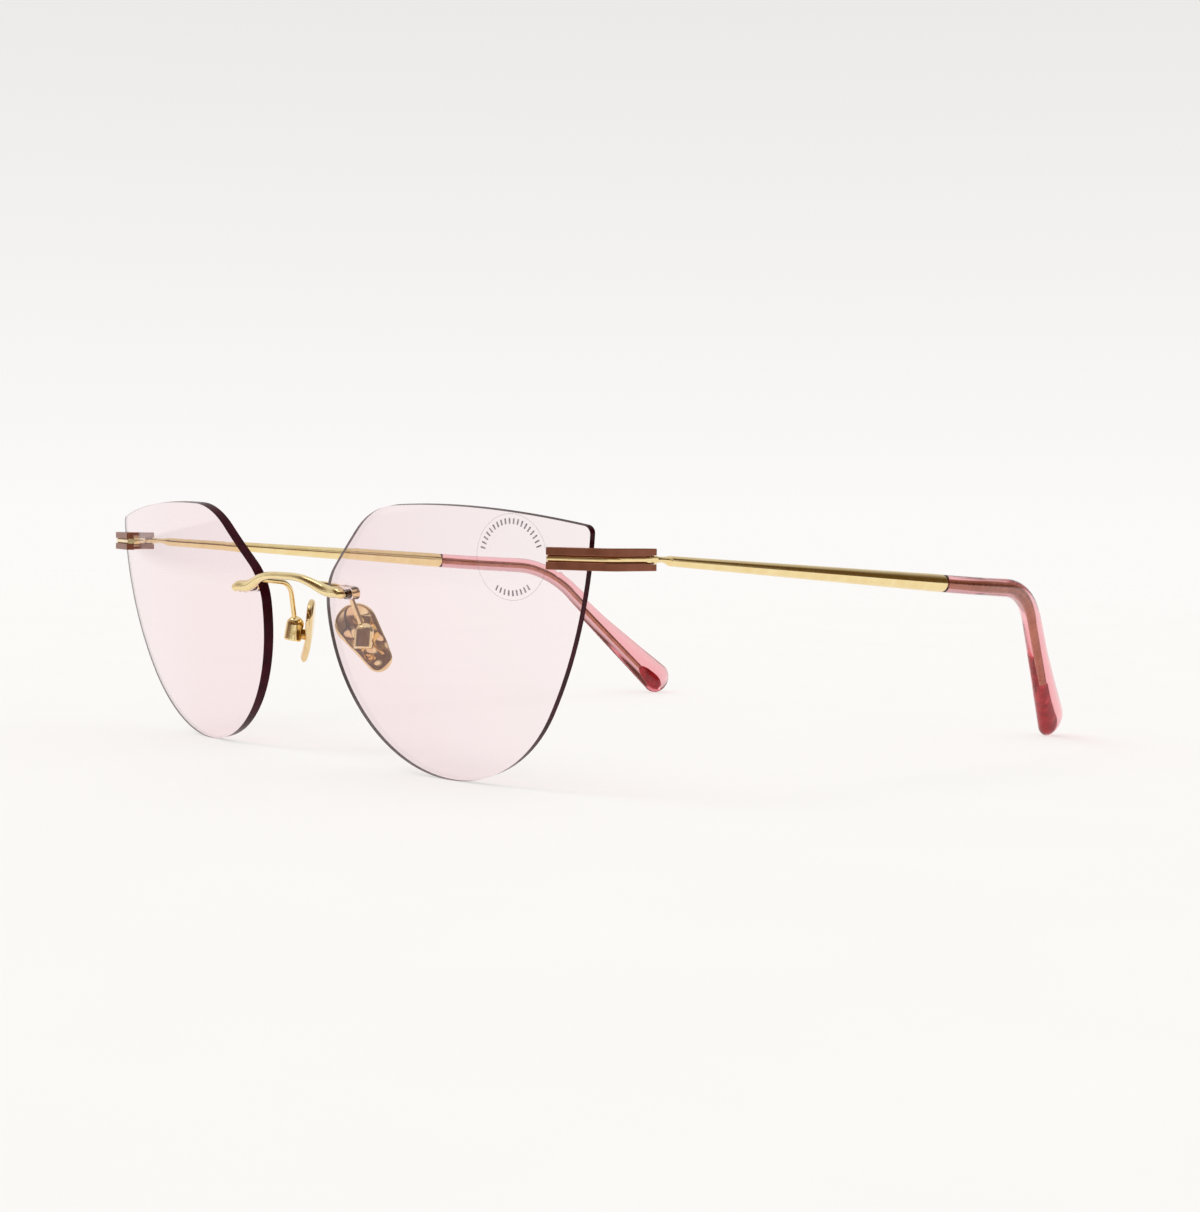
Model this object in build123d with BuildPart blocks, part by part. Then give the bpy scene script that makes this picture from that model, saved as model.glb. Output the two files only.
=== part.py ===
"""Rimless cat eye sunglasses: two drilled lenses, wire bridge, sandwiched end pieces, folding temples.

Frame: +Z up, the lenses face -Y, the temples run back along +Y, +X is the wearer's left.
The origin lies under the middle of the open spectacles, on the surface that they stand on.
Every piece of the wearer's left side is drawn once and mirrored to make the right one. Millimetres.
"""

from build123d import *
from math import asin, cos, degrees, radians, sin, sqrt
import os

# ---- driving dimensions ----
FRONT_Y = -66.98           # the lens datum, ahead of the middle of the open spectacles

THROUGH = 10.0             # cutting depth that passes through any piece here

LENS_X = 37.4              # middle of a lens to the middle of the bridge
LENS_Z = 20.68             # middle of a lens above the ground
LENS_WRAP = 6.8            # degrees, each lens turned back at its outer side
LENS_TILT = 9.0            # degrees, top of the lens leaning forward
LENS_R = 140.6             # front surface, a sphere
LENS_T = 1.4               # at its middle
LENS_TAPER = 0.012         # thickness lost per millimetre from the middle towards the outer side
BOWL_R = 25.4              # round lower part of the outline
BOWL_CENTRE = (-2.6, 4.2)
BOWL_END = 147             # degrees of bowl, from the nose side round to the outer side
NOSE_CUT_START = (-25.1, 10.9)
NOSE_CUT = 8.8             # straight diagonal above the nose
BROW_START = (-9.5, 20.85)
OUTER_CORNER = (27.75, 17.8)
OUTER_CORNER_R = 1.2
STICKER = (14.4, 13.65)    # place on the lens, in the lens plane
STICKER_D = 12.7
STICKER_T = 0.1

PIN_D = 0.9                # mounting pins of the bridge and the end pieces
PIN_PITCH = 3.0
PIN_REACH = 3.0            # pin length behind the lens front
PIN_FOOT = 0.6             # pin length ahead of it, inside the bridge or the end piece
SLEEVE_D = 1.5             # bushing sleeve, which fills the lens hole
SLEEVE_INSET = 0.05        # sleeve end below the lens front
BUSHING = (5.0, 2.0, 1.2)  # flange behind the lens: length, width, thickness
BRIDGE_MOUNT = (13.6, 27.7)    # x, z of the middle of the bridge's pins
HINGE_Z = 34.42            # middle height of the end pieces
END_MOUNT_X = 61.4         # x of the middle of an end piece's pins

# half of the bridge, from its middle: point, height and depth of the section
BRIDGE_STATIONS = [
    ((0.0, -3.5, 30.05), 1.25, 1.2),
    ((4.0, -3.45, 29.95), 1.3, 1.25),
    ((8.2, -3.0, 29.0), 1.6, 1.4),
    ((12.2, -2.55, 27.95), 1.9, 1.6),
    ((15.0, -2.6, 27.65), 1.5, 1.45),
]
BRIDGE_END_R = 0.72

PAD_WIRE_D = 0.85
PAD_WIRE = [(7.3, -3.1, 29.2), (8.6, 3.9, 28.5)]   # from the bridge to the gooseneck
PAD_WIRE_R = 3.2
PAD_BOX = (10.4, 5.9, 20.0)        # where the pad screw crosses the box
PAD_BOX_R = 1.5
PAD_BOX_EDGE = 0.3                 # rounding of its lower edge
PAD_BOX_LOW = 1.35                 # bottom of the box below the screw
PAD_BOX_HIGH = 2.85                # top of its dome above the screw
PAD_NORMAL = (-0.573, 0.805, -0.157)   # contact side of the left pad
PAD_AXIS = (0.557, 0.242, -0.794)  # along the pad, towards its narrow end
PAD_STANDOFF = 2.1                 # screw axis to the back of the pad
PAD_TOP_R = 3.35
PAD_BOTTOM_R = 2.15
PAD_SPAN = 6.95                    # between the centres of the two round ends
PAD_T = 1.15
PAD_EDGE = 0.45                    # rounding of the pad's rim
PAD_CURVE = 36.0                   # spherical dishing of the pad
PAD_CENTRE = (-0.17, 0.12)         # middle of the pad from the screw, along and across the pad
LUG_T = 1.0
LUG_H = 1.8
LUG_SINK = 0.2                     # lug reaching into the back of the pad
LUG_SLOT = 1.12
LUG_ROOM = 0.3                     # slot beyond the lug, so that the pad can rock
PAD_SCREW_D = 0.8
PAD_SCREW_L = 2.7
PAD_SCREW_SLOT = 0.16
SCREW_SLOT_DEPTH = 0.2
RUN = 0.04                         # radial running clearance round a screw

RAIL_T = 1.13                      # height of each rail
CORE_T = 0.92                      # height of the strip between the rails
RAIL_FRONT = 1.25                  # rail standing ahead of the lens
RAIL_W = 1.9
RAIL_START_X = 58.45
RAIL_OUTER_X = 69.15
RAIL_END_Y = 13.15
RAIL_CORNER_R = 2.4
RAIL_EDGE = 0.12
CORE_INSET = 0.15
CORE_ROUNDING = 0.4                # rounded outer face of the strip
EYE_T = 1.2                        # hinge eye of the temple
EYE_GAP = 0.03
EYE_R = 0.9
EYE_ROUNDING = 0.42
EYE_START_Y = 11.1                 # pocket for the eye in the rails
PIVOT = (68.2, 12.1)
HINGE_SCREW_D = 1.0
HINGE_HEAD_D = 1.5
HINGE_HEAD_T = 0.4
HINGE_HEAD_SLOT = 0.22
CORE_END_Y = 11.3                  # the strip reaches round the eye
CORE_GAP = 0.1                     # between the strip and the eye

EYE_TAIL = 1.6                     # flat part of the eye behind the pivot
EYE_TAIL_W = 1.5
NECK_SECTIONS = [(1.5, 1.5, 1.2), (2.9, 1.3, 0.85)]    # behind the pivot: place, width, height
BAR_START = (68.17, 16.7, 34.2)    # round wire of the temple begins
BAR_END = (68.1, 80.4, 30.22)    # mouth of the ferrule
BAR_D0 = 1.5
BAR_D1 = 2.95
FERRULE = 2.0                      # straight mouth of the bar
FERRULE_EDGE = 0.25
SOCKET_D = 2.2
SOCKET_DEPTH = 3.0
TIP_STRAIGHT = 8.0                 # the tip leaves the ferrule in line with the bar
TIP_LINE = [(64.8, 109.5, 28.7), (52.65, 135.9, 0.36)]
TIP_RADII = (60.0, 20.0)
CORE_WIRE_D = 0.8
CORE_ROOT = 6.0                    # core wire held inside the ferrule
CORE_SHORT = 8.0                   # tip material beyond the end of the core wire
# along the tip, 0 at the ferrule and 1 at the end: thickness across the head, width in the plane of
# the drop, and how far the middle of the section stands behind the core wire
TIP_SIZES = [(0.0, 2.9, 2.9, 0), (0.24, 3.05, 3.05, 0), (0.5, 3.3, 3.4, 0), (0.68, 3.5, 4.3, 0.2),
             (0.82, 3.65, 5.7, 0.65), (1.0, 3.9, 7.7, 1.3)]
TIP_STEPS = 26
TIP_BODY_END = 0.955               # the rounded end begins
TIP_CAP_ANGLES = (0, 25, 45, 62, 76, 85)   # degrees round the elliptical end of the tip


def at(point):
    """A point given from the lens datum, in the part's frame."""
    return Vector(*point) + Vector(0, FRONT_Y, 0)


# ---- planes and points of the left side ----
WRAP, TILT = radians(LENS_WRAP), radians(LENS_TILT)
LENS_PLANE = Plane(
    origin=at((LENS_X, 0, LENS_Z)),
    x_dir=(cos(WRAP), sin(WRAP), 0),
    z_dir=(sin(WRAP) * cos(TILT), -cos(WRAP) * cos(TILT), -sin(TILT)),
)
LENS_CENTRE = LENS_PLANE.origin - LENS_PLANE.z_dir * LENS_R
BACK_CENTRE = LENS_CENTRE + LENS_PLANE.x_dir * LENS_TAPER * LENS_R
BACK_R = LENS_R - LENS_T


def on_lens(x, z):
    """The point of the left lens's front surface at x, z."""
    dx, dz = x - LENS_CENTRE.X, z - LENS_CENTRE.Z
    return Vector(x, LENS_CENTRE.Y - sqrt(LENS_R**2 - dx**2 - dz**2), z)


def mount_plane(x, z, along):
    """Plane touching the lens front at x, z, with its x axis along the two pins and z axis to the front."""
    origin = on_lens(x, z)
    return Plane(origin=origin, x_dir=along, z_dir=origin - LENS_CENTRE)


BRIDGE_PINS = mount_plane(*BRIDGE_MOUNT, along=(1, 0, -0.06))
END_PINS = mount_plane(END_MOUNT_X, HINGE_Z, along=(1, 0.29, 0))
MOUNTS = (BRIDGE_PINS, END_PINS)

BAR_AXIS = (at(BAR_END) - at(BAR_START)).normalized()
BAR_LENGTH = (at(BAR_END) - at(BAR_START)).length
BAR_PLANE = Plane(origin=at(BAR_START), x_dir=(1, 0, 0), z_dir=BAR_AXIS)

PAD_SCREW_DIR = Vector(-PAD_NORMAL[1], PAD_NORMAL[0], 0).normalized()
PAD_FOOT = Plane(origin=at(PAD_BOX), x_dir=PAD_AXIS, z_dir=PAD_NORMAL).offset(PAD_STANDOFF)
PAD_PLANE = Plane(PAD_FOOT * Pos(*PAD_CENTRE))
PAD_SCREW_PLANE = Plane(origin=at(PAD_BOX), x_dir=PAD_NORMAL, z_dir=PAD_SCREW_DIR)
BOX_PLANE = Plane(origin=at(PAD_BOX), x_dir=PAD_NORMAL, z_dir=Vector(*PAD_NORMAL).cross(PAD_SCREW_DIR))
BOX_DOME = BOX_PLANE.offset(PAD_BOX_HIGH - PAD_BOX_R).origin
PIVOT_POINT = at((*PIVOT, 0))
RAIL_TOP = HINGE_Z + CORE_T / 2 + RAIL_T


# ---- lens, sticker and bushings ----
def make_lens_blank():
    """The lens as ground to its outline, before it is drilled."""
    with BuildPart() as blank:
        with BuildSketch(LENS_PLANE) as outline:
            with BuildLine():
                bowl = CenterArc(BOWL_CENTRE, BOWL_R, 180, BOWL_END)
                nose = TangentArc(bowl @ 0, NOSE_CUT_START, tangent=(0, 1))
                cut = Line(nose @ 1, nose @ 1 + (nose % 1) * NOSE_CUT)
                brow = TangentArc(cut @ 1, BROW_START, tangent=cut % 1)
                TangentArc(brow @ 1, OUTER_CORNER, tangent=brow % 1)
                TangentArc(bowl @ 1, OUTER_CORNER, tangent=bowl % 1)
            make_face()
            fillet(outline.vertices().sort_by(Axis.X)[-1], OUTER_CORNER_R)
        extrude(amount=THROUGH, both=True)
        with Locations(LENS_CENTRE):
            Sphere(LENS_R, mode=Mode.INTERSECT)
        with Locations(BACK_CENTRE):
            Sphere(BACK_R, mode=Mode.SUBTRACT)
    return blank.part


def make_lens():
    with BuildPart() as lens:
        add(LENS_BLANK)
        for mount in MOUNTS:
            with BuildSketch(mount):
                with GridLocations(PIN_PITCH, 1, 2, 1):
                    Circle(SLEEVE_D / 2)
            extrude(amount=THROUGH, both=True, mode=Mode.SUBTRACT)
    return lens.part


def make_sticker():
    with BuildPart() as sticker:
        with BuildSketch(LENS_PLANE):
            with Locations(STICKER):
                Circle(STICKER_D / 2)
        extrude(amount=THROUGH, both=True)
        with Locations(LENS_CENTRE):
            Sphere(LENS_R + STICKER_T, mode=Mode.INTERSECT)
            Sphere(LENS_R, mode=Mode.SUBTRACT)
    return sticker.part


def make_bushing(mount):
    """Double plug: two sleeves through the lens from a flange behind it."""
    length, width, thickness = BUSHING
    back = BACK_R - (mount.origin - BACK_CENTRE).length
    with BuildPart() as bushing:
        with BuildSketch(mount.offset(back - thickness)):
            SlotOverall(length, width)
        extrude(amount=2 * thickness)
        with Locations(BACK_CENTRE):
            Sphere(BACK_R, mode=Mode.INTERSECT)
        with BuildSketch(mount.offset(-SLEEVE_INSET)):
            with GridLocations(PIN_PITCH, 1, 2, 1):
                Circle(SLEEVE_D / 2)
        extrude(amount=back - thickness / 2)
        with BuildSketch(mount):
            with GridLocations(PIN_PITCH, 1, 2, 1):
                Circle(PIN_D / 2)
        extrude(amount=THROUGH, both=True, mode=Mode.SUBTRACT)
    return bushing.part


def mounting_pins(mount):
    """Two pins from just ahead of the lens front to behind the bushing."""
    with BuildPart() as pins:
        with BuildSketch(mount.offset(PIN_FOOT)):
            with GridLocations(PIN_PITCH, 1, 2, 1):
                Circle(PIN_D / 2)
        extrude(amount=-PIN_REACH - PIN_FOOT)
    return pins.part


# ---- bridge, pad arms and pads ----
def make_bridge():
    mirrored = [((-x, y, z), height, depth) for (x, y, z), height, depth in reversed(BRIDGE_STATIONS[1:])]
    stations = mirrored + BRIDGE_STATIONS
    pins = mounting_pins(BRIDGE_PINS)
    with BuildPart() as bridge:
        with BuildLine():
            centre = Spline(*[at(point) for point, _, _ in stations])
        for point, height, depth in stations:
            section = Plane(origin=at(point), x_dir=(0, 0, 1), z_dir=centre.tangent_at(at(point)))
            with BuildSketch(section):
                Ellipse(height / 2, depth / 2)
        loft()
        with Locations(at(stations[0][0]), at(stations[-1][0])):
            Sphere(BRIDGE_END_R)
        add(pins)
        mirror(pins, about=Plane.YZ)
    return bridge.part


def make_pad_arm():
    with BuildPart() as arm:
        with BuildLine():
            wire = FilletPolyline(*[at(point) for point in PAD_WIRE], BOX_DOME, radius=PAD_WIRE_R)
        with BuildSketch(Plane(origin=wire @ 0, z_dir=wire % 0)):
            Circle(PAD_WIRE_D / 2)
        sweep()
        add(BRIDGE, mode=Mode.SUBTRACT)
        add(BOX_BLANK, mode=Mode.SUBTRACT)
    return arm.part


def make_box_blank():
    """Outside of the pad box, a short cylinder with a domed top."""
    with BuildPart() as blank:
        with BuildSketch(BOX_PLANE.offset(-PAD_BOX_LOW)):
            Circle(PAD_BOX_R)
        extrude(amount=PAD_BOX_LOW + PAD_BOX_HIGH - PAD_BOX_R)
        fillet(blank.edges().group_by(Axis.Z)[0], PAD_BOX_EDGE)
        with Locations(BOX_DOME):
            Sphere(PAD_BOX_R)
    return blank.part


def make_pad_box():
    with BuildPart() as box:
        add(BOX_BLANK)
        with BuildSketch(BOX_PLANE.offset(LUG_H / 2 + LUG_ROOM)):
            with Locations((-LUG_H / 2 - LUG_ROOM, 0)):
                Rectangle(3 * PAD_BOX_R, LUG_SLOT, align=(Align.MIN, Align.CENTER))
        extrude(amount=-LUG_H - LUG_ROOM - PAD_BOX_LOW, mode=Mode.SUBTRACT)
        with BuildSketch(PAD_SCREW_PLANE):
            Circle(PAD_SCREW_D / 2)
        extrude(amount=THROUGH, both=True, mode=Mode.SUBTRACT)
    return box.part


def make_pad_screw():
    """Threaded through both cheeks of the box, with a slotted front end."""
    with BuildPart() as screw:
        with BuildSketch(PAD_SCREW_PLANE.offset(PAD_SCREW_L / 2)):
            Circle(PAD_SCREW_D / 2)
        extrude(amount=-PAD_SCREW_L)
        with BuildSketch(PAD_SCREW_PLANE.offset(PAD_SCREW_L / 2)):
            Rectangle(PAD_SCREW_D, PAD_SCREW_SLOT)
        extrude(amount=-SCREW_SLOT_DEPTH, mode=Mode.SUBTRACT)
    return screw.part


def make_nose_pad():
    with BuildPart() as pad:
        with BuildSketch(PAD_PLANE):
            with BuildLine():
                top = (-PAD_SPAN / 2, 0)
                bottom = (PAD_SPAN / 2, 0)
                lean = degrees(asin((PAD_TOP_R - PAD_BOTTOM_R) / PAD_SPAN))
                wide = CenterArc(top, PAD_TOP_R, 90 - lean, 180 + 2 * lean)
                narrow = CenterArc(bottom, PAD_BOTTOM_R, lean - 90, 180 - 2 * lean)
                Line(wide @ 1, narrow @ 0)
                Line(narrow @ 1, wide @ 0)
            make_face()
        extrude(amount=THROUGH, both=True)
        with Locations(PAD_PLANE.offset(PAD_T - PAD_CURVE).origin):
            Sphere(PAD_CURVE, mode=Mode.INTERSECT)
            Sphere(PAD_CURVE - PAD_T, mode=Mode.SUBTRACT)
        fillet(pad.edges(), PAD_EDGE)
        with BuildSketch(PAD_SCREW_PLANE):
            Circle(LUG_H / 2)
            Rectangle(PAD_STANDOFF + LUG_SINK, LUG_H, align=(Align.MIN, Align.CENTER))
            Circle(PAD_SCREW_D / 2 + RUN, mode=Mode.SUBTRACT)
        extrude(amount=LUG_T / 2, both=True)
    return pad.part


# ---- end pieces and hinges ----
def end_piece_outline(front, inset):
    """Plan of one end piece: from its nose end on the lens, round the corner, back to the hinge."""
    leg = END_PINS.x_dir
    ahead = Vector(leg.Y, -leg.X, 0)
    start = on_lens(RAIL_START_X, HINGE_Z) + ahead * front
    back = start - ahead * (RAIL_W - 2 * inset)
    outer_x, inner_x = RAIL_OUTER_X - inset, RAIL_OUTER_X - RAIL_W + inset
    corner = start + leg * ((outer_x - start.X) / leg.X)
    elbow = back + leg * ((inner_x - back.X) / leg.X)
    return [(p.X, p.Y) for p in (start, corner)], [(p.X, p.Y) for p in (elbow, back)]


def end_piece_strip(z, height, front, inset, end_y, edge=0):
    outer, inner = end_piece_outline(front, inset)
    end = FRONT_Y + end_y
    with BuildPart() as strip:
        with BuildSketch(Plane.XY.offset(z)) as plan:
            with BuildLine():
                Polyline(*outer, (outer[1][0], end), (inner[0][0], end), *inner, close=True)
            make_face()
            fillet(plan.vertices().sort_by_distance((*outer[1], z))[0], RAIL_CORNER_R - inset)
        extrude(amount=height)
        if edge:
            fillet(strip.edges().group_by(Axis.Z)[0] + strip.edges().group_by(Axis.Z)[-1], edge)
        add(LENS_BLANK, mode=Mode.SUBTRACT)
    return strip.part


def make_rail(upper):
    z = HINGE_Z + CORE_T / 2 if upper else HINGE_Z - CORE_T / 2 - RAIL_T
    eye_face = HINGE_Z + (EYE_T / 2 + EYE_GAP) * (1 if upper else -1)
    with BuildPart() as rail:
        add(end_piece_strip(z, RAIL_T, RAIL_FRONT, 0, RAIL_END_Y, RAIL_EDGE))
        with BuildSketch(Plane.XY.offset(HINGE_Z)):
            with Locations(at((PIVOT[0], EYE_START_Y, 0))):
                Rectangle(2 * RAIL_W, THROUGH, align=(Align.CENTER, Align.MIN))
        extrude(amount=eye_face - HINGE_Z, mode=Mode.SUBTRACT)
        with BuildSketch(Plane.XY.offset(HINGE_Z)):
            with Locations(PIVOT_POINT):
                Circle(HINGE_SCREW_D / 2)
        extrude(amount=THROUGH, both=True, mode=Mode.SUBTRACT)
        if upper:
            with BuildSketch(Plane.XY.offset(RAIL_TOP - HINGE_HEAD_T)):
                with Locations(PIVOT_POINT):
                    Circle(HINGE_HEAD_D / 2)
            extrude(amount=HINGE_HEAD_T, mode=Mode.SUBTRACT)
    return rail.part


def make_end_core():
    """Strip between the rails, with the two pins that hold the lens."""
    with BuildPart() as core:
        bottom = HINGE_Z - CORE_T / 2
        add(end_piece_strip(bottom, CORE_T, RAIL_FRONT - CORE_INSET, CORE_INSET, CORE_END_Y))
        rounds = core.edges().filter_by(GeomType.CIRCLE).group_by(SortBy.RADIUS)[0]
        fillet(rounds, CORE_ROUNDING)
        with BuildSketch(Plane.XY.offset(HINGE_Z)):
            with Locations(PIVOT_POINT):
                Circle(EYE_R + CORE_GAP)
        extrude(amount=THROUGH, both=True, mode=Mode.SUBTRACT)
        add(mounting_pins(END_PINS))
    return core.part


def make_hinge_screw():
    with BuildPart() as screw:
        with BuildSketch(Plane.XY.offset(RAIL_TOP)):
            with Locations(PIVOT_POINT):
                Circle(HINGE_HEAD_D / 2)
        extrude(amount=-HINGE_HEAD_T)
        with BuildSketch(Plane.XY.offset(RAIL_TOP)):
            with Locations(PIVOT_POINT):
                Circle(HINGE_SCREW_D / 2)
        extrude(amount=-2 * RAIL_T - CORE_T)
        with BuildSketch(Plane.XY.offset(RAIL_TOP)):
            with Locations(PIVOT_POINT):
                Rectangle(HINGE_HEAD_D, HINGE_HEAD_SLOT)
        extrude(amount=-SCREW_SLOT_DEPTH, mode=Mode.SUBTRACT)
    return screw.part


# ---- temples ----
def make_hinge_eye():
    """Flat eye with its tail, rounded all round like the strip beside it."""
    with BuildPart() as eye:
        with BuildSketch(Plane.XY.offset(HINGE_Z - EYE_T / 2)):
            with Locations(PIVOT_POINT):
                Circle(EYE_R)
                Rectangle(EYE_TAIL_W, EYE_TAIL, align=(Align.CENTER, Align.MIN))
        extrude(amount=EYE_T)
        fillet(eye.edges().group_by(Axis.Z)[0] + eye.edges().group_by(Axis.Z)[-1], EYE_ROUNDING)
        with BuildSketch(Plane.XY.offset(HINGE_Z)):
            with Locations(PIVOT_POINT):
                Circle(HINGE_SCREW_D / 2 + RUN)
        extrude(amount=THROUGH, both=True, mode=Mode.SUBTRACT)
    return eye.part


def make_temple_bar():
    with BuildPart() as bar:
        with BuildSketch(BAR_PLANE):
            Circle(BAR_D0 / 2)
        with BuildSketch(BAR_PLANE.offset(BAR_LENGTH - FERRULE)):
            Circle(BAR_D1 / 2)
        loft()
        with BuildSketch(BAR_PLANE.offset(BAR_LENGTH - FERRULE)):
            Circle(BAR_D1 / 2)
        extrude(amount=FERRULE)
        fillet(bar.edges().sort_by(Axis.Y)[-1], FERRULE_EDGE)
        for diameter, depth in ((SOCKET_D, SOCKET_DEPTH), (CORE_WIRE_D, CORE_ROOT)):
            with BuildSketch(BAR_PLANE.offset(BAR_LENGTH)):
                Circle(diameter / 2)
            extrude(amount=-depth, mode=Mode.SUBTRACT)
        for along, width, height in NECK_SECTIONS:
            middle = at((PIVOT[0], PIVOT[1] + along, HINGE_Z))
            with BuildSketch(Plane(origin=middle, x_dir=(1, 0, 0), z_dir=(0, 1, 0))):
                Ellipse(width / 2, height / 2)
        with BuildSketch(BAR_PLANE):
            Circle(BAR_D0 / 2)
        loft()
        add(make_hinge_eye())
    return bar.part


def tip_line(start, end_short):
    """Centre line behind the ferrule: straight, a slight turn inwards, the bend, and the drop."""
    mouth, bend, end = at(BAR_END), *[at(point) for point in TIP_LINE]
    end += (bend - end).normalized() * end_short
    with BuildLine() as line:
        FilletPolyline(mouth - BAR_AXIS * start, mouth + BAR_AXIS * TIP_STRAIGHT, bend, end, radius=TIP_RADII)
    return line.wire()


def make_core_wire():
    line = tip_line(CORE_ROOT, CORE_SHORT)
    with BuildPart() as wire:
        with BuildSketch(Plane(origin=line @ 0, z_dir=line % 0)):
            Circle(CORE_WIRE_D / 2)
        sweep(path=line)
    return wire.part


def tip_size(place):
    """Thickness, width and set-back of the tip at a place from 0 to 1, between the rows of TIP_SIZES."""
    for (start, *low), (end, *high) in zip(TIP_SIZES, TIP_SIZES[1:]):
        if place <= end:
            part = (place - start) / (end - start)
            return [a + (b - a) * part for a, b in zip(low, high)]


def make_temple_tip():
    line = tip_line(0, 0)
    with BuildPart() as tip:
        for step in range(TIP_STEPS + 1):
            place = TIP_BODY_END * step / TIP_STEPS
            thickness, width, back = tip_size(place)
            with BuildSketch(Plane(origin=line @ place, x_dir=(1, 0, 0), z_dir=line % place)):
                with Locations((0, -back)):
                    Ellipse(thickness / 2, width / 2)
        loft()
        for angle in TIP_CAP_ANGLES:
            cap_place = place + (1 - place) * sin(radians(angle))
            shrink = cos(radians(angle))
            with BuildSketch(Plane(origin=line @ cap_place, x_dir=(1, 0, 0), z_dir=line % cap_place)):
                with Locations((0, -back)):
                    Ellipse(thickness * shrink / 2, width * shrink / 2)
        loft()
        with BuildSketch(Plane(origin=line @ 0, z_dir=line % 0)):
            Circle(SOCKET_D / 2)
        extrude(amount=-SOCKET_DEPTH)
        add(CORE_WIRE, mode=Mode.SUBTRACT)
    return tip.part


# ---- pieces ----
LENS_BLANK = make_lens_blank()
BRIDGE = make_bridge()
BOX_BLANK = make_box_blank()
CORE_WIRE = make_core_wire()

PAIRS = {
    "lens": make_lens(),
    "bridge_bushing": make_bushing(BRIDGE_PINS),
    "end_bushing": make_bushing(END_PINS),
    "pad_arm": make_pad_arm(),
    "pad_box": make_pad_box(),
    "pad_screw": make_pad_screw(),
    "nose_pad": make_nose_pad(),
    "end_core": make_end_core(),
    "upper_rail": make_rail(True),
    "lower_rail": make_rail(False),
    "hinge_screw": make_hinge_screw(),
    "temple_bar": make_temple_bar(),
    "core_wire": CORE_WIRE,
    "temple_tip": make_temple_tip(),
}


def save(piece, name):
    piece.label = name
    export_step(piece, f"parts/{name}.step")


os.makedirs("parts", exist_ok=True)

for name, left in PAIRS.items():
    with BuildPart() as right:
        mirror(left, about=Plane.YZ)
    save(left, f"left_{name}")
    save(right.part, f"right_{name}")

save(BRIDGE, "bridge")
save(make_sticker(), "lens_sticker")
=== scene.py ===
"""Studio scene of the cat eye sunglasses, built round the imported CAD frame. Metres, the CAD's frame."""

import math

import bmesh
import bpy
from mathutils import Matrix, Vector


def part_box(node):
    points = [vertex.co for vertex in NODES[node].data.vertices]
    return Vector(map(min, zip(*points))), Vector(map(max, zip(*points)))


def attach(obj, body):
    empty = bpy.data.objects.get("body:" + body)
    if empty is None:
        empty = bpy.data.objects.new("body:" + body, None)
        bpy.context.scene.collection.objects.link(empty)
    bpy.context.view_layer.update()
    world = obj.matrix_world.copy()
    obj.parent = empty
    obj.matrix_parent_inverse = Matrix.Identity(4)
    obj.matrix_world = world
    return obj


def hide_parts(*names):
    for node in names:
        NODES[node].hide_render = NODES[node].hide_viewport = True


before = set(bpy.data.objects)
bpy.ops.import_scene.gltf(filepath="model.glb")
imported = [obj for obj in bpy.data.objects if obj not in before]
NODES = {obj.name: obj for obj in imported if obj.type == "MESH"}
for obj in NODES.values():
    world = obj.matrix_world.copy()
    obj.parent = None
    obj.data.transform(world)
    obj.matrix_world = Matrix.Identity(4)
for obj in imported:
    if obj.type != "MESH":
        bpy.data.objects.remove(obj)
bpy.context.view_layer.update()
MM = 0.001
SIDES = (("left", 1), ("right", -1))

# ---- camera ----
CAMERA_AT = Vector((261.9, -244.34, 40.54)) * MM
CAMERA_AZIMUTH = math.radians(47.003)
CAMERA_PITCH = math.radians(2.694)
CAMERA_ROLL = math.radians(0.884)
CAMERA_LENS = 57.09

# ---- shapes that scene.py draws anew, in millimetres, as in the CAD source ----
PAD_NORMAL = Vector((-0.573, 0.805, -0.157)).normalized()
PAD_AXIS = Vector((0.557, 0.242, -0.794)).normalized()
PAD_STANDOFF = 2.1
PAD_CENTRE = (-0.17, 0.12)
PAD_TOP_R = 3.35
PAD_BOTTOM_R = 2.15
PAD_SPAN = 6.95
PAD_T = 1.15
PAD_CURVE = 36.0
PAD_SPOKES = 120
PAD_RINGS = 34
PAD_RING_POWER = 0.9    # below 1 it moves the rings towards the rim
RIM_HALVINGS = 30
LUG_T = 1.0
LUG_H = 1.8
LUG_EDGE = 0.12
LUG_REACH = 0.5         # into the pad, beyond PAD_STANDOFF
# hollows pressed into the back of a pad: along, across, radius, height at the middle
PAD_PRESSING = [(-4.2, -1.35, 1.5, -0.5), (-1.8, 1.7, 1.3, -0.5), (1.5, -2.0, 1.15, -0.42),
                (2.2, 0.5, 1.15, -0.46), (4.4, 0.9, 1.1, -0.42)]
PRESSING_FADE = 1.6     # a hollow's depth has fallen by this power of e at its radius

TIP_STRAIGHT = 8.0
TIP_BEND = Vector((64.8, 42.52, 28.7))
TIP_END = Vector((52.65, 68.92, 0.36))
TIP_RADII = (60.0, 20.0)
TIP_STEP = 0.6
TIP_SIZES = [(0.0, 2.9, 2.9, 0), (0.24, 3.05, 3.05, 0), (0.5, 3.3, 3.4, 0), (0.68, 3.5, 4.3, 0.2),
             (0.82, 3.65, 5.7, 0.65), (1.0, 3.9, 7.7, 1.3)]
TIP_BODY_END = 0.955    # the rounded end starts here; places along the tip run from 0 to 1
TIP_BODY_GAP = 0.005    # no body ring this close ahead of it
TIP_END_STEP = 6        # degrees from ring to ring round the end
TIP_FRONT_INSET = 0.04  # share by which the first ring is drawn in
TIP_SIDES = 32
HEART_SIDES = 24
BAR_START = Vector((68.17, -50.28, 34.2))
BAR_END = Vector((68.1, 13.42, 30.22))


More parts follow.
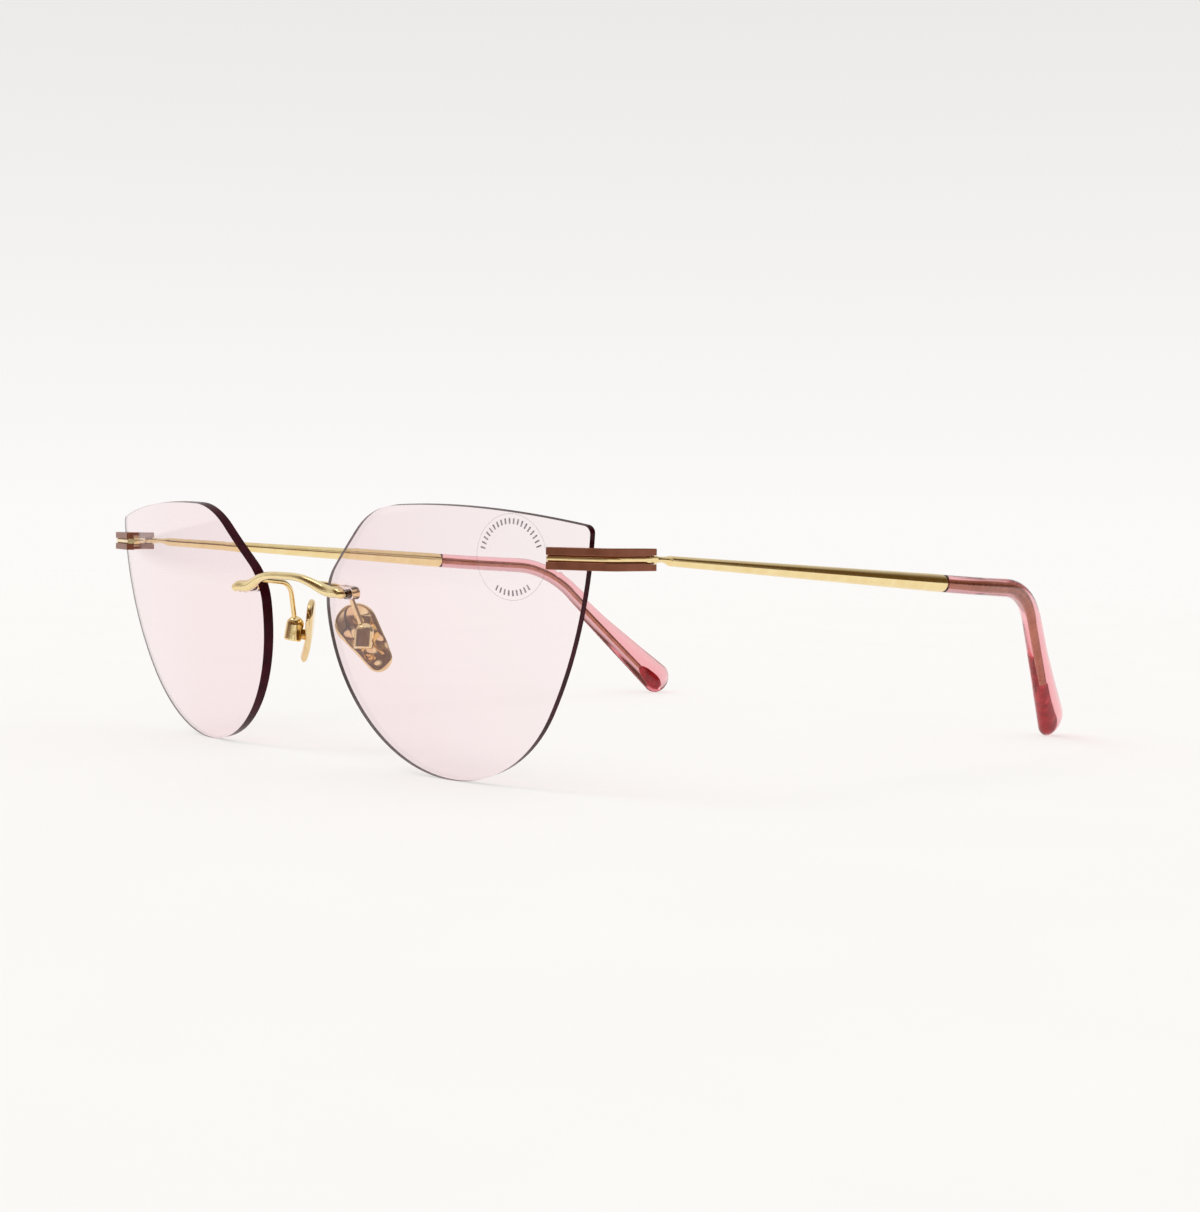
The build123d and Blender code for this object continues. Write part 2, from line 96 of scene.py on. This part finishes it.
def make_camera():
    data = bpy.data.cameras.new("camera")
    data.lens = CAMERA_LENS
    data.clip_start = 0.01
    data.clip_end = 50
    camera = bpy.data.objects.new("camera", data)
    bpy.context.scene.collection.objects.link(camera)
    across, up = math.cos(CAMERA_PITCH), math.sin(CAMERA_PITCH)
    back = Vector((math.sin(CAMERA_AZIMUTH) * across, -math.cos(CAMERA_AZIMUTH) * across, up))
    right = Vector((0, 0, 1)).cross(back).normalized()
    upright = Matrix((right, back.cross(right), back)).transposed()
    turned = upright @ Matrix.Rotation(CAMERA_ROLL, 3, "Z")
    camera.matrix_world = Matrix.Translation(CAMERA_AT) @ turned.to_4x4()
    bpy.context.scene.camera = camera


# ---- node helpers ----
class Shader:
    """A material with one Principled shader, and the node chains that drive it."""

    def __init__(self, name):
        self.material = bpy.data.materials.new(name)
        self.material.use_nodes = True
        self.nodes = self.material.node_tree.nodes
        self.links = self.material.node_tree.links
        self.nodes.clear()
        self.output = self.nodes.new("ShaderNodeOutputMaterial")
        self.main = self.nodes.new("ShaderNodeBsdfPrincipled")
        self.links.new(self.main.outputs[0], self.output.inputs["Surface"])

    def set(self, **values):
        for socket, value in values.items():
            self.main.inputs[socket.replace("_", " ")].default_value = value

    def drive(self, socket, source):
        self.links.new(source, self.main.inputs[socket])

    def coords(self, stretch=None):
        source = self.nodes.new("ShaderNodeTexCoord").outputs["Object"]
        if stretch:
            mapping = self.nodes.new("ShaderNodeMapping")
            mapping.inputs["Scale"].default_value = stretch
            self.links.new(source, mapping.inputs["Vector"])
            source = mapping.outputs["Vector"]
        return source

    def noise(self, scale, detail=3.0, stretch=None):
        """Noise over the object's own coordinates; scale is in lumps per metre."""
        texture = self.nodes.new("ShaderNodeTexNoise")
        texture.inputs["Scale"].default_value = scale
        texture.inputs["Detail"].default_value = detail
        self.links.new(self.coords(stretch), texture.inputs["Vector"])
        return texture.outputs["Fac"]

    def ramp(self, source, *stops):
        """Colours along source; each stop is a place and an (r, g, b) colour."""
        node = self.nodes.new("ShaderNodeValToRGB")
        elements = node.color_ramp.elements
        while len(elements) < len(stops):
            elements.new(0.5)
        for element, (place, colour) in zip(elements, stops):
            element.position = place
            element.color = (*colour, 1)
        self.links.new(source, node.inputs["Fac"])
        return node.outputs["Color"]

    def between(self, source, low, high, start=0.3, end=0.7):
        node = self.nodes.new("ShaderNodeMapRange")
        for socket, value in (("From Min", start), ("From Max", end), ("To Min", low), ("To Max", high)):
            node.inputs[socket].default_value = value
        self.links.new(source, node.inputs["Value"])
        return node.outputs["Result"]

    def maths(self, operation, *sources):
        """sources are sockets or numbers."""
        node = self.nodes.new("ShaderNodeMath")
        node.operation = operation
        for socket, source in zip(node.inputs, sources):
            if isinstance(source, (int, float)):
                socket.default_value = source
            else:
                self.links.new(source, socket)
        return node.outputs[0]

    def along(self, origin, direction):
        """Distance of the shaded point from origin along direction, in metres."""
        offset = self.nodes.new("ShaderNodeVectorMath")
        offset.operation = "SUBTRACT"
        offset.inputs[1].default_value = origin
        self.links.new(self.coords(), offset.inputs[0])
        dot = self.nodes.new("ShaderNodeVectorMath")
        dot.operation = "DOT_PRODUCT"
        dot.inputs[1].default_value = direction
        self.links.new(offset.outputs["Vector"], dot.inputs[0])
        return dot.outputs["Value"]

    def bump(self, source, depth):
        """Relief of that depth in metres."""
        node = self.nodes.new("ShaderNodeBump")
        node.inputs["Distance"].default_value = depth
        node.inputs["Strength"].default_value = 1.0
        self.links.new(source, node.inputs["Height"])
        self.links.new(node.outputs["Normal"], self.main.inputs["Normal"])

    def mix_in(self, factor, other):
        """Mixes another shader over what reaches the output."""
        mix = self.nodes.new("ShaderNodeMixShader")
        if isinstance(factor, float):
            mix.inputs["Fac"].default_value = factor
        else:
            self.links.new(factor, mix.inputs["Fac"])
        before = self.output.inputs["Surface"].links[0].from_socket
        self.links.new(before, mix.inputs[1])
        self.links.new(other.outputs[0], mix.inputs[2])
        self.links.new(mix.outputs[0], self.output.inputs["Surface"])

    def lamps_pass(self, tint):
        """Lamps shine through the glass, tinted, instead of being stopped by it."""
        clear = self.nodes.new("ShaderNodeBsdfTransparent")
        clear.inputs["Color"].default_value = (*tint, 1)
        path = self.nodes.new("ShaderNodeLightPath")
        self.mix_in(path.outputs["Is Shadow Ray"], clear)

    def absorb(self, colour, density):
        volume = self.nodes.new("ShaderNodeVolumeAbsorption")
        volume.inputs["Color"].default_value = (*colour, 1)
        volume.inputs["Density"].default_value = density
        self.links.new(volume.outputs[0], self.output.inputs["Volume"])


# ---- materials ----
GRAIN_SCALE = 5200      # lumps per metre, as in every noise here
PATCH_SCALE = 420


def metal(name, dark, light, rough, grain=(1, 1, 1), relief=1.0e-6, metallic=1.0):
    shader = Shader(name)
    shader.set(Metallic=metallic)
    fine = shader.noise(GRAIN_SCALE, 2, grain)
    shader.drive("Base Color", shader.ramp(shader.noise(PATCH_SCALE, 4), (0.3, dark), (0.7, light)))
    shader.drive("Roughness", shader.between(fine, *rough))
    shader.bump(fine, relief)
    return shader.material


LENS_TINT = (0.80, 0.14, 0.26)
LENS_DENSITY = 94


def lens_glass():
    """Pink glass; the low index stands for a coat that mirrors less than bare glass."""
    shader = Shader("lens_pink")
    shader.set(Base_Color=(1.0, 0.995, 0.995, 1), Transmission_Weight=1.0, IOR=1.4)
    shader.drive("Roughness", shader.between(shader.noise(90, 4), 0.0, 0.012))
    shader.absorb(LENS_TINT, LENS_DENSITY)
    shader.lamps_pass((0.96, 0.90, 0.91))
    return shader.material


def lens_edge():
    """Polished edge: the tint of the whole lens width gathers in it."""
    shader = Shader("lens_ground_edge")
    shader.set(IOR=1.5, Specular_IOR_Level=0.05)
    shader.drive("Base Color", shader.ramp(shader.noise(700, 3, (1, 1, 0.3)), (0.35, (0.024, 0.001, 0.004)),
                                           (0.65, (0.050, 0.003, 0.009))))
    shader.drive("Roughness", shader.between(shader.noise(2600, 2), 0.18, 0.32))
    inside = shader.nodes.new("ShaderNodeBsdfPrincipled")
    inside.inputs["Base Color"].default_value = (0.75, 0.42, 0.48, 1)
    inside.inputs["Transmission Weight"].default_value = 1.0
    inside.inputs["Roughness"].default_value = 0.05
    shader.mix_in(0.08, inside)
    shader.absorb(LENS_TINT, LENS_DENSITY)
    shader.lamps_pass((0.5, 0.3, 0.33))
    return shader.material


def acetate():
    """Translucent pink temple tip; the volume makes thick places redder."""
    shader = Shader("pink_acetate")
    shader.set(Base_Color=(0.995, 0.95, 0.95, 1), Transmission_Weight=1.0, IOR=1.47)
    cloud = shader.noise(380, 3)
    shader.drive("Roughness", shader.between(cloud, 0.03, 0.10))
    shader.bump(shader.noise(1500, 2), 2.0e-6)
    shader.absorb((0.97, 0.26, 0.34), 230)
    shader.lamps_pass((0.96, 0.72, 0.74))
    return shader.material


def clear_plastic():
    shader = Shader("clear_bushing")
    shader.set(Base_Color=(0.98, 0.90, 0.90, 1), Transmission_Weight=1.0, IOR=1.35)
    shader.drive("Roughness", shader.between(shader.noise(1200, 2), 0.03, 0.12))
    shader.lamps_pass((0.93, 0.86, 0.86))
    return shader.material


def red_core():
    """Deep red heart of the tip's thick end."""
    shader = Shader("red_heart")
    shader.set(Specular_IOR_Level=0.2)
    streaks = shader.noise(900, 3, (1, 1, 0.25))
    shader.drive("Base Color", shader.ramp(streaks, (0.32, (0.30, 0.003, 0.010)), (0.5, (0.44, 0.006, 0.018)),
                                           (0.68, (0.60, 0.035, 0.055))))
    shader.drive("Roughness", shader.between(streaks, 0.3, 0.5))
    return shader.material


RING_RADIUS = 6.2 * MM
RING_WIDTH = 0.07 * MM
RING_COVER = 0.3
TICK_INNER, TICK_OUTER = 4.75 * MM, 5.6 * MM
TICKS = 44
TICK_SHARE = 0.32
TICK_COVER = 0.8
UPPER_ARC = 0.2         # ticks stand above this share of the ring's radius, and below the lower one
LOWER_ARC = -0.8
FILM_COVER = 0.012
LENS_WRAP = math.radians(6.8)
LENS_LEVEL = Vector((math.cos(LENS_WRAP), math.sin(LENS_WRAP), 0))      # level, along the left lens
LENS_AXIS = Vector((0.117, -0.981, -0.156)).normalized()                # square to it, forwards


def sticker_film():
    """Clear film with a grey printed ring and evenly spaced ticks inside it."""
    shader = Shader("sticker_film")
    low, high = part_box("lens_sticker")
    middle = (low + high) / 2
    across = shader.along(middle, LENS_LEVEL)
    upward = shader.along(middle, LENS_AXIS.cross(LENS_LEVEL))
    radius = shader.maths("SQRT", shader.maths("ADD", shader.maths("MULTIPLY", across, across),
                                               shader.maths("MULTIPLY", upward, upward)))
    turn = shader.maths("MULTIPLY", shader.maths("ARCTAN2", upward, across), TICKS / (2 * math.pi))
    on_tick = shader.maths("LESS_THAN", shader.maths("FRACT", turn), TICK_SHARE)
    band = shader.maths("COMPARE", radius, (TICK_INNER + TICK_OUTER) / 2, (TICK_OUTER - TICK_INNER) / 2)
    ring = shader.maths("COMPARE", radius, RING_RADIUS, RING_WIDTH / 2)
    height = shader.maths("DIVIDE", upward, radius)
    in_arc = shader.maths("MAXIMUM", shader.maths("GREATER_THAN", height, UPPER_ARC),
                          shader.maths("LESS_THAN", height, LOWER_ARC))
    ticks = shader.maths("MULTIPLY", shader.maths("MULTIPLY", on_tick, band), in_arc)
    ink = shader.maths("MAXIMUM", shader.maths("MULTIPLY", ring, RING_COVER),
                       shader.maths("MULTIPLY", ticks, TICK_COVER))
    worn = shader.between(shader.noise(2200, 3), 0.55, 1.0)
    cover = shader.maths("ADD", shader.maths("MULTIPLY", ink, worn), FILM_COVER)
    shader.set(Roughness=0.35, Specular_IOR_Level=0.2)
    shader.drive("Base Color", shader.ramp(ink, (0.0, (0.93, 0.90, 0.90)), (0.2, (0.18, 0.15, 0.17))))
    clear = shader.nodes.new("ShaderNodeBsdfTransparent")
    shader.mix_in(shader.maths("SUBTRACT", 1.0, cover), clear)
    return shader.material


GOLD = metal("polished_gold", (0.89, 0.69, 0.34), (0.95, 0.78, 0.43), (0.09, 0.18))
PAD_GOLD = metal("pad_gold", (0.84, 0.62, 0.33), (0.91, 0.71, 0.40), (0.05, 0.13))
SCREW_GOLD = metal("screw_gold", (0.70, 0.50, 0.22), (0.84, 0.64, 0.32), (0.18, 0.30))
CORE_GOLD = metal("core_wire_brass", (0.40, 0.20, 0.12), (0.54, 0.31, 0.19), (0.22, 0.36), relief=3.0e-6)
COPPER = metal("copper_brown", (0.225, 0.075, 0.038), (0.295, 0.105, 0.058), (0.30, 0.42),
               grain=(0.25, 0.25, 3), relief=2.0e-6, metallic=0.7)
LENS, LENS_EDGE, PINK, CLEAR, RED = lens_glass(), lens_edge(), acetate(), clear_plastic(), red_core()


# ---- pieces ----
def add_piece(name, verts, faces, material, body, slot, *replaced, mirrored=False):
    """A smooth closed mesh from millimetre points, riding on a body."""
    sign = -1 if mirrored else 1
    mesh = bpy.data.meshes.new(name)
    mesh.from_pydata([(v[0] * sign * MM, v[1] * MM, v[2] * MM) for v in verts], [], faces)
    shape = bmesh.new()
    shape.from_mesh(mesh)
    bmesh.ops.remove_doubles(shape, verts=shape.verts, dist=1e-7)
    bmesh.ops.recalc_face_normals(shape, faces=shape.faces)
    shape.to_mesh(mesh)
    shape.free()
    mesh.polygons.foreach_set("use_smooth", [True] * len(mesh.polygons))
    mesh.materials.append(material)
    piece = bpy.data.objects.new(name, mesh)
    bpy.context.scene.collection.objects.link(piece)
    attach(piece, body)
    if replaced:
        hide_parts(*replaced)
    return piece


def loft_rings(rings):
    """Quads between closed rings of points, with a fan over each end."""
    count = len(rings[0])
    verts = [p for ring in rings for p in ring]
    faces = []
    for j in range(len(rings) - 1):
        for i in range(count):
            a, b = j * count + i, j * count + (i + 1) % count
            faces.append((a, b, b + count, a + count))
    for ring_start, flip in ((0, True), ((len(rings) - 1) * count, False)):
        middle = sum((Vector(p) for p in verts[ring_start : ring_start + count]), Vector()) / count
        verts.append(tuple(middle))
        for i in range(count):
            face = (ring_start + i, ring_start + (i + 1) % count, len(verts) - 1)
            faces.append(face[::-1] if flip else face)
    return verts, faces


def filleted_line(corners, radii, step):
    """Points and directions along straight runs joined by tangent arcs, about a step apart."""
    points = []

    def run(start, end):
        direction = (end - start).normalized()
        count = max(2, round((end - start).length / step))
        points.extend((start.lerp(end, i / count), direction) for i in range(count))

    start = corners[0]
    for before, corner, after, radius in zip(corners, corners[1:], corners[2:], radii):
        into, out = (corner - before).normalized(), (after - corner).normalized()
        turn = into.angle(out)
        reach = radius * math.tan(turn / 2)
        run(start, corner - into * reach)
        inward = (out - into * into.dot(out)).normalized()
        centre = corner - into * reach + inward * radius
        count = max(3, round(radius * turn / step))
        for i in range(count):
            a = turn * i / count
            spoke = -inward * math.cos(a) + into * math.sin(a)
            points.append((centre + spoke * radius, into * math.cos(a) + inward * math.sin(a)))
        start = corner + out * reach
    run(start, corners[-1])
    points.append((corners[-1], (corners[-1] - start).normalized()))
    return points


def tip_path():
    along = (BAR_END - BAR_START).normalized()
    return filleted_line([BAR_END, BAR_END + along * TIP_STRAIGHT, TIP_BEND, TIP_END], TIP_RADII, TIP_STEP)


def tip_size(place):
    """Thickness, width and set-back of the tip at a place from 0 to 1."""
    for (start, *low), (end, *high) in zip(TIP_SIZES, TIP_SIZES[1:]):
        if place <= end:
            part = (place - start) / (end - start)
            return [a + (b - a) * part for a, b in zip(low, high)]


def oval(point, direction, half_thick, half_wide, back, count=TIP_SIDES):
    """Ring of points square to direction, shifted by back along its width."""
    x = (Vector((1, 0, 0)) - direction * direction.x).normalized()
    y = direction.cross(x)
    ring = []
    for i in range(count):
        a = 2 * math.pi * i / count
        ring.append(tuple(point + x * half_thick * math.cos(a) + y * (half_wide * math.sin(a) - back)))
    return ring


def places(path):
    """The path's points with how far along it they are, from 0 to 1."""
    lengths = [0.0]
    for (a, _), (b, _) in zip(path, path[1:]):
        lengths.append(lengths[-1] + (b - a).length)
    return [(length / lengths[-1], point, direction) for length, (point, direction) in zip(lengths, path)]


def at_place(marks, place):
    """Point and direction at a place from 0 to 1."""
    for (p0, a, direction), (p1, b, _) in zip(marks, marks[1:]):
        if place <= p1:
            return a.lerp(b, (place - p0) / (p1 - p0)), direction
    return marks[-1][1], marks[-1][2]


def make_tip(side, mirrored):
    marks = places(tip_path())
    rings = []
    for place, point, direction in marks:
        if place < TIP_BODY_END - TIP_BODY_GAP:
            thick, wide, back = tip_size(place)
            rings.append(oval(point, direction, thick / 2, wide / 2, back))
    thick, wide, back = tip_size(TIP_BODY_END)
    for angle in range(0, 90, TIP_END_STEP):
        place = TIP_BODY_END + (1 - TIP_BODY_END) * math.sin(math.radians(angle))
        shrink = math.cos(math.radians(angle)) / 2
        point, direction = at_place(marks, place)
        rings.append(oval(point, direction, thick * shrink, wide * shrink, back))
    edge = [tuple(Vector(p).lerp(marks[0][1], TIP_FRONT_INSET)) for p in rings[0]]
    verts, faces = loft_rings([edge] + rings[1:])
    add_piece(f"{side}_tip", verts, faces, PINK, f"{side}_temple", "pink_tip", f"{side}_temple_tip",
              mirrored=mirrored)


HEART_END = [(0.91, 0.9, 1.05), (0.935, 1.1, 1.3), (0.952, 1.15, 1.4), (0.968, 0.98, 1.2), (0.98, 0.5, 0.65)]
HEARTS = {"left": [(0.775, 0.3, 0.3), (0.785, 0.56, 0.56), (0.82, 0.6, 0.62), (0.86, 0.66, 0.75)] + HEART_END,
          "right": [(0.88, 0.1, 0.1), (0.895, 0.6, 0.7)] + HEART_END}


def make_heart(side, mirrored):
    """The red heart round the end of the core wire: place along the tip, half thickness, half width."""
    marks = places(tip_path())
    rings = [oval(*at_place(marks, place), half, wide, 0, HEART_SIDES) for place, half, wide in HEARTS[side]]
    verts, faces = loft_rings(rings)
    add_piece(f"{side}_tip_heart", verts, faces, RED, f"{side}_temple", "pink_tip", mirrored=mirrored)


def pad_depth(x, y):
    """How far a point of the pad's plane lies inside its tapered outline."""
    lean = (PAD_TOP_R - PAD_BOTTOM_R) / PAD_SPAN
    slope = math.sqrt(1 - lean * lean)
    y = abs(y)
    u = x + PAD_SPAN / 2
    k = y * -lean + u * slope
    if k < 0:
        return PAD_TOP_R - math.hypot(u, y)
    if k > slope * PAD_SPAN:
        return PAD_BOTTOM_R - math.hypot(u - PAD_SPAN, y)
    return PAD_TOP_R - (y * slope + u * lean)


def pad_rim(angle):
    """Distance from the middle of the pad to its outline, found by halving."""
    low, high = 0.0, PAD_SPAN / 2 + PAD_TOP_R + 1
    for _ in range(RIM_HALVINGS):
        middle = (low + high) / 2
        if pad_depth(middle * math.cos(angle), middle * math.sin(angle)) > 0:
            low = middle
        else:
            high = middle
    return low


def pad_point(fraction, spoke, back):
    """A point of the left pad's back or front, in the pad's own axes, at a fraction of the way to the rim."""
    angle = 2 * math.pi * spoke / PAD_SPOKES
    reach = pad_rim(angle) * fraction
    x, y = reach * math.cos(angle), reach * math.sin(angle)
    half = PAD_T / 2
    rim = max(0.0, min(pad_depth(x, y), half))
    rise = math.sqrt(max(0.0, half * half - (half - rim) ** 2))
    dish = -(x * x + y * y) / (2 * PAD_CURVE)
    z = half + dish + (-rise if back else rise)
    if back:
        for along, aside, radius, height in PAD_PRESSING:
            spot = ((x - along) ** 2 + (y - aside) ** 2) / (radius * radius)
            z -= height * math.exp(-PRESSING_FADE * spot)
    return x, y, z


def pad_plate(middle):
    """Teardrop plate with a full round rim, dished to the nose and pressed with hollows at the back."""
    across = PAD_NORMAL.cross(PAD_AXIS)

    def ring(fraction, back):
        points = [pad_point(fraction, spoke, back) for spoke in range(PAD_SPOKES)]
        return [tuple(middle + PAD_AXIS * x + across * y + PAD_NORMAL * z) for x, y, z in points]

    fractions = [math.sin(math.pi / 2 * j / PAD_RINGS) ** PAD_RING_POWER for j in range(1, PAD_RINGS + 1)]
    back_rings = [ring(fraction, True) for fraction in fractions]
    front_rings = [ring(fraction, False) for fraction in reversed(fractions)]
    return loft_rings(back_rings + front_rings[1:])


def pad_lug(screw):
    """Lug that joins the plate to the screw: half round behind the screw, straight into the plate."""
    turn = Vector((-PAD_NORMAL.y, PAD_NORMAL.x, 0)).normalized()
    rise = PAD_NORMAL.cross(turn)
    profile = [(LUG_H / 2 * math.cos(math.radians(a)), LUG_H / 2 * math.sin(math.radians(a)))
               for a in range(90, 271, 15)]
    profile += [(PAD_STANDOFF + LUG_REACH, -LUG_H / 2), (PAD_STANDOFF + LUG_REACH, LUG_H / 2)]
    half = LUG_T / 2
    rings = []
    for thick, inset in ((-half, LUG_EDGE), (-half + LUG_EDGE, 0), (half - LUG_EDGE, 0), (half, LUG_EDGE)):
        shrink = 1 - inset / (LUG_H / 2)
        ring = []
        for x, z in profile:
            behind = shrink if x < 0 else 1
            ring.append(tuple(screw + PAD_NORMAL * x * behind + rise * z * shrink + turn * thick))
        rings.append(ring)
    return loft_rings(rings)


def make_pad(side, mirrored):
    low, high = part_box("left_pad_screw")
    screw = (low + high) / 2 / MM
    across = PAD_NORMAL.cross(PAD_AXIS)
    middle = screw + PAD_NORMAL * PAD_STANDOFF + PAD_AXIS * PAD_CENTRE[0] + across * PAD_CENTRE[1]
    verts, faces = pad_plate(middle)
    lug_verts, lug_faces = pad_lug(screw)
    faces += [tuple(k + len(verts) for k in face) for face in lug_faces]
    verts += lug_verts
    add_piece(f"{side}_pad", verts, faces, PAD_GOLD, f"{side}_pad", "gold", f"{side}_nose_pad",
              mirrored=mirrored)


def finish_node(name, *materials):
    mesh = NODES[name].data
    mesh.materials.clear()
    for material in materials:
        mesh.materials.append(material)


EDGE_FACE = 0.5         # a lens face is its edge if it leans over 60 degrees from the lens's axis


def dress(side, sign):
    for piece in ("pad_arm", "pad_box", "end_core", "temple_bar"):
        finish_node(f"{side}_{piece}", GOLD)
    for piece in ("pad_screw", "hinge_screw"):
        finish_node(f"{side}_{piece}", SCREW_GOLD)
    for piece in ("upper_rail", "lower_rail"):
        finish_node(f"{side}_{piece}", COPPER)
    for piece in ("bridge_bushing", "end_bushing"):
        finish_node(f"{side}_{piece}", CLEAR)
    finish_node(f"{side}_core_wire", CORE_GOLD)
    finish_node(f"{side}_lens", LENS, LENS_EDGE)
    axis = Vector((LENS_AXIS.x * sign, LENS_AXIS.y, LENS_AXIS.z))
    for face in NODES[f"{side}_lens"].data.polygons:
        face.material_index = int(abs(face.normal.dot(axis)) < EDGE_FACE)


# ---- floor, lights and what the metal mirrors ----
FLOOR_HALF = 6.0
FLOOR_DROP = 0.02 * MM  # below the ground, so that nothing lies in the floor's own plane
FLOOR_GLOW = 0.58
FLOOR_FADE = (0.25, 1.6)


def make_floor():
    mesh = bpy.data.meshes.new("floor")
    corners = [(-FLOOR_HALF, -FLOOR_HALF, 0), (FLOOR_HALF, -FLOOR_HALF, 0), (FLOOR_HALF, FLOOR_HALF, 0),
               (-FLOOR_HALF, FLOOR_HALF, 0)]
    mesh.from_pydata(corners, [], [(0, 1, 2, 3)])
    floor = bpy.data.objects.new("floor", mesh)
    floor.location.z = -FLOOR_DROP
    bpy.context.scene.collection.objects.link(floor)
    shader = Shader("floor_paper")
    shader.set(Roughness=0.9, Specular_IOR_Level=0.1)
    shader.drive("Base Color", shader.ramp(shader.noise(30, 4), (0.3, (0.375, 0.37, 0.365)),
                                           (0.7, (0.385, 0.38, 0.375))))
    shader.set(Emission_Color=(1, 0.985, 0.965, 1), Emission_Strength=FLOOR_GLOW)
    length = shader.nodes.new("ShaderNodeVectorMath")
    length.operation = "LENGTH"
    shader.links.new(shader.coords(), length.inputs[0])
    fade = shader.nodes.new("ShaderNodeMapRange")
    fade.interpolation_type = "SMOOTHSTEP"
    limits = (("From Min", FLOOR_FADE[0]), ("From Max", FLOOR_FADE[1]), ("To Min", 1.0), ("To Max", 0.0))
    for socket, value in limits:
        fade.inputs[socket].default_value = value
    shader.links.new(length.outputs["Value"], fade.inputs["Value"])
    shader.drive("Alpha", fade.outputs["Result"])
    mesh.materials.append(shader.material)


def make_world():
    world = bpy.data.worlds.new("studio")
    world.use_nodes = True
    nodes, links = world.node_tree.nodes, world.node_tree.links
    coords = nodes.new("ShaderNodeTexCoord")
    split = nodes.new("ShaderNodeSeparateXYZ")
    links.new(coords.outputs["Generated"], split.inputs[0])
    sky = nodes.new("ShaderNodeValToRGB")
    stops = ((0.0, (0.972, 0.958, 0.945)), (0.35, (0.786, 0.772, 0.757)))
    for element, (place, colour) in zip(sky.color_ramp.elements, stops):
        element.position = place
        element.color = (*colour, 1)
    links.new(split.outputs["Z"], sky.inputs["Fac"])
    links.new(sky.outputs["Color"], nodes["Background"].inputs["Color"])
    bpy.context.scene.world = world


def direction(azimuth, elevation):
    a, e = math.radians(azimuth), math.radians(elevation)
    return Vector((math.sin(a) * math.cos(e), -math.cos(a) * math.cos(e), math.sin(e)))


def make_sun(azimuth, elevation, strength, angle):
    data = bpy.data.lights.new("key", "SUN")
    data.energy = strength
    data.angle = math.radians(angle)
    sun = bpy.data.objects.new("key", data)
    sun.rotation_euler = direction(azimuth, elevation).to_track_quat("Z", "Y").to_euler()
    bpy.context.scene.collection.objects.link(sun)


CARD_STEPS = 40


def make_card(name, shade, point, feather):
    """A sheet over u and v from 0 to 1, seen in mirrors and through glass but not directly by the camera.

    It thins out over the shares in feather: from u = 0, from u = 1, from v = 0 and from v = 1.
    """
    steps = CARD_STEPS
    verts, faces, cover = [], [], []
    for j in range(steps + 1):
        for i in range(steps + 1):
            u, v = i / steps, j / steps
            verts.append(tuple(point(u, v)))
            reach = [u / feather[0], (1 - u) / feather[1], v / feather[2], (1 - v) / feather[3]]
            amounts = [min(1.0, share) for share in reach]
            cover.append(math.prod(a * a * (3 - 2 * a) for a in amounts))
    for j in range(steps):
        for i in range(steps):
            a = j * (steps + 1) + i
            faces.append((a, a + 1, a + steps + 2, a + steps + 1))
    mesh = bpy.data.meshes.new(name)
    mesh.from_pydata(verts, [], faces)
    mesh.attributes.new("cover", "FLOAT", "POINT").data.foreach_set("value", cover)
    card = bpy.data.objects.new(name, mesh)
    bpy.context.scene.collection.objects.link(card)
    material = bpy.data.materials.new(name)
    material.use_nodes = True
    nodes, links = material.node_tree.nodes, material.node_tree.links
    nodes.clear()
    output = nodes.new("ShaderNodeOutputMaterial")
    glow = nodes.new("ShaderNodeEmission")
    glow.inputs["Color"].default_value = (*shade, 1)
    mix = nodes.new("ShaderNodeMixShader")
    amount = nodes.new("ShaderNodeAttribute")
    amount.attribute_name = "cover"
    links.new(amount.outputs["Fac"], mix.inputs["Fac"])
    links.new(nodes.new("ShaderNodeBsdfTransparent").outputs[0], mix.inputs[1])
    links.new(glow.outputs[0], mix.inputs[2])
    links.new(mix.outputs[0], output.inputs["Surface"])
    mesh.materials.append(material)
    card.visible_camera = False
    card.visible_diffuse = False
    card.visible_shadow = False
    card.visible_volume_scatter = False
    return card


def dome(azimuths, elevations, radius=3.0):
    """Places on a large sphere for a card."""
    def point(u, v):
        return direction(azimuths[0] + (azimuths[1] - azimuths[0]) * u,
                         elevations[0] + (elevations[1] - elevations[0]) * v) * radius
    return point


TABLE_EDGE = (Vector((-0.75, -0.01, 0.001)), Vector((0.35, -0.30, 0.001)))
ROOM_FLOOR = (Vector((-1.6, -2.5, 0.001)), Vector((1.2, -2.5, 0.001)))


def beyond_table(u, v):
    return TABLE_EDGE[0].lerp(TABLE_EDGE[1], u).lerp(ROOM_FLOOR[0].lerp(ROOM_FLOOR[1], u), v)


make_camera()
for side, sign in SIDES:
    dress(side, sign)
    make_tip(side, sign < 0)
    make_heart(side, sign < 0)
    make_pad(side, sign < 0)
finish_node("bridge", GOLD)
finish_node("lens_sticker", sticker_film())
make_floor()
make_world()
make_sun(azimuth=-35, elevation=52, strength=0.9, angle=28)
make_card("dark_room", (0.13, 0.070, 0.036), dome((-75, 131), (1, 66)), feather=(0.19, 0.025, 0.06, 0.25))
make_card("dark_rear", (0.10, 0.055, 0.012), dome((133, 228), (2, 47)), feather=(0.06, 0.85, 0.08, 0.28))
dark_floor = make_card("dark_floor", (0.20, 0.16, 0.15), beyond_table, feather=(0.08, 0.08, 0.03, 0.1))
dark_floor.visible_transmission = False     # in mirrors only, so that it doesn't show through the lenses
bpy.context.scene.view_settings.view_transform = "Standard"
